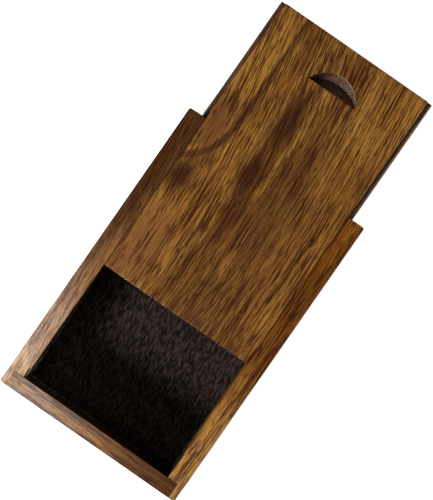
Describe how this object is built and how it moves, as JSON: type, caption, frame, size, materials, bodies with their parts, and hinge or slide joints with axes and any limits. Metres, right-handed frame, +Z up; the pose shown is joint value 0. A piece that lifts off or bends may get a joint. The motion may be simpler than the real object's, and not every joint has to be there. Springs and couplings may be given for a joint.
{
  "type": "sliding-lid box",
  "caption": "Small walnut box with a flush lid that slides in grooves in the long sides and has a half-moon thumb notch; dark napped lining on the floor.",
  "frame": {"origin": "middle of the box's underside, with the lid left out", "axes": "+Y is the way the lid slides open, along the box's length; +Z is up; +X is to the right when the open end points away"},
  "size_m": [0.088, 0.196, 0.04],
  "materials": {
    "walnut_side_left": "oiled, satin, open pores",
    "walnut_side_right": "oiled, satin, open pores",
    "walnut_stop_wall": "oiled, satin, open pores",
    "walnut_entry_wall": "oiled, satin, open pores",
    "walnut_floor": "oiled, satin, open pores",
    "dark_lining": "short brushed nap",
    "walnut_lid": "oiled, satin, open pores"
  },
  "bodies": {
    "box": {"side_left": "walnut_side_left", "side_right": "walnut_side_right", "stop_wall": "walnut_stop_wall", "entry_wall": "walnut_entry_wall", "floor_panel": "walnut_floor", "floor_lining": "dark_lining"},
    "lid": {"lid": "walnut_lid"}
  },
  "joints": [
    {"name": "lid_slide", "type": "slide", "parent": "box", "child": "lid", "axis": [0, 1, 0], "range_m": [-0.057, 0.08]}
  ]
}
